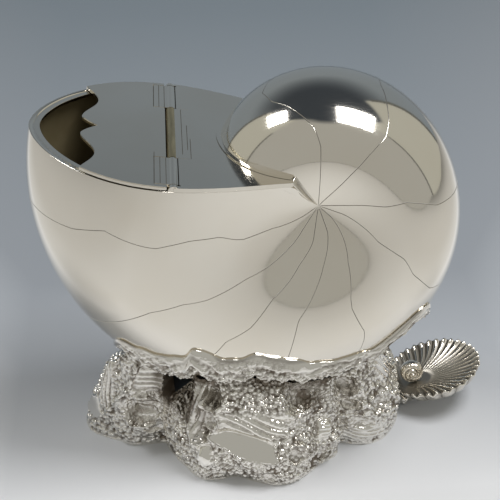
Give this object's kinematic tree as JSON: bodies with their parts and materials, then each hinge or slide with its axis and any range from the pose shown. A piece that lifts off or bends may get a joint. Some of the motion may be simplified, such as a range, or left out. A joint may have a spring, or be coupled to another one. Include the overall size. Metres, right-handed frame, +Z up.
{
  "type": "spoon warmer",
  "caption": "Nautilus-shaped silver-plated spoon warmer on a cast rock base, with a wavy hinged lid over its mouth and a scallop handle.",
  "frame": {"origin": "under the middle of the object's box, on the surface it stands on", "axes": "+X from the mouth towards the scallop handle, +Y away from the near side, +Z up"},
  "size_m": [0.1701, 0.095, 0.1435],
  "materials": {
    "silver_plate": "polished silver plate",
    "cast_silver": "cast and chased silver plate, darkened in the hollows",
    "worn_brass": "plating worn through to brass",
    "steel": "plain turned"
  },
  "bodies": {
    "vessel": {"shell_near_half": "silver_plate", "shell_far_half": "silver_plate", "rim_flange": "silver_plate", "deck_plate": "silver_plate", "deck_hinge_leaf": "worn_brass", "hinge_pin": "steel", "wave_collar": "cast_silver", "rock_left": "cast_silver", "rock_front": "cast_silver", "rock_right": "cast_silver", "rock_back": "cast_silver", "base_strap": "steel", "shell_stud": "steel", "stud_washer": "steel", "stud_nut": "steel", "handle_stem": "cast_silver", "scallop_dish": "silver_plate", "volute": "silver_plate"},
    "lid": {"lid_flap": "silver_plate", "lid_hinge_leaves": "silver_plate"}
  },
  "joints": [
    {"name": "lid_hinge", "type": "hinge", "parent": "vessel", "child": "lid", "pos_m": [-0.0343, 0, 0.12273], "axis": [0, 1, 0], "range_deg": [0, 100]}
  ]
}
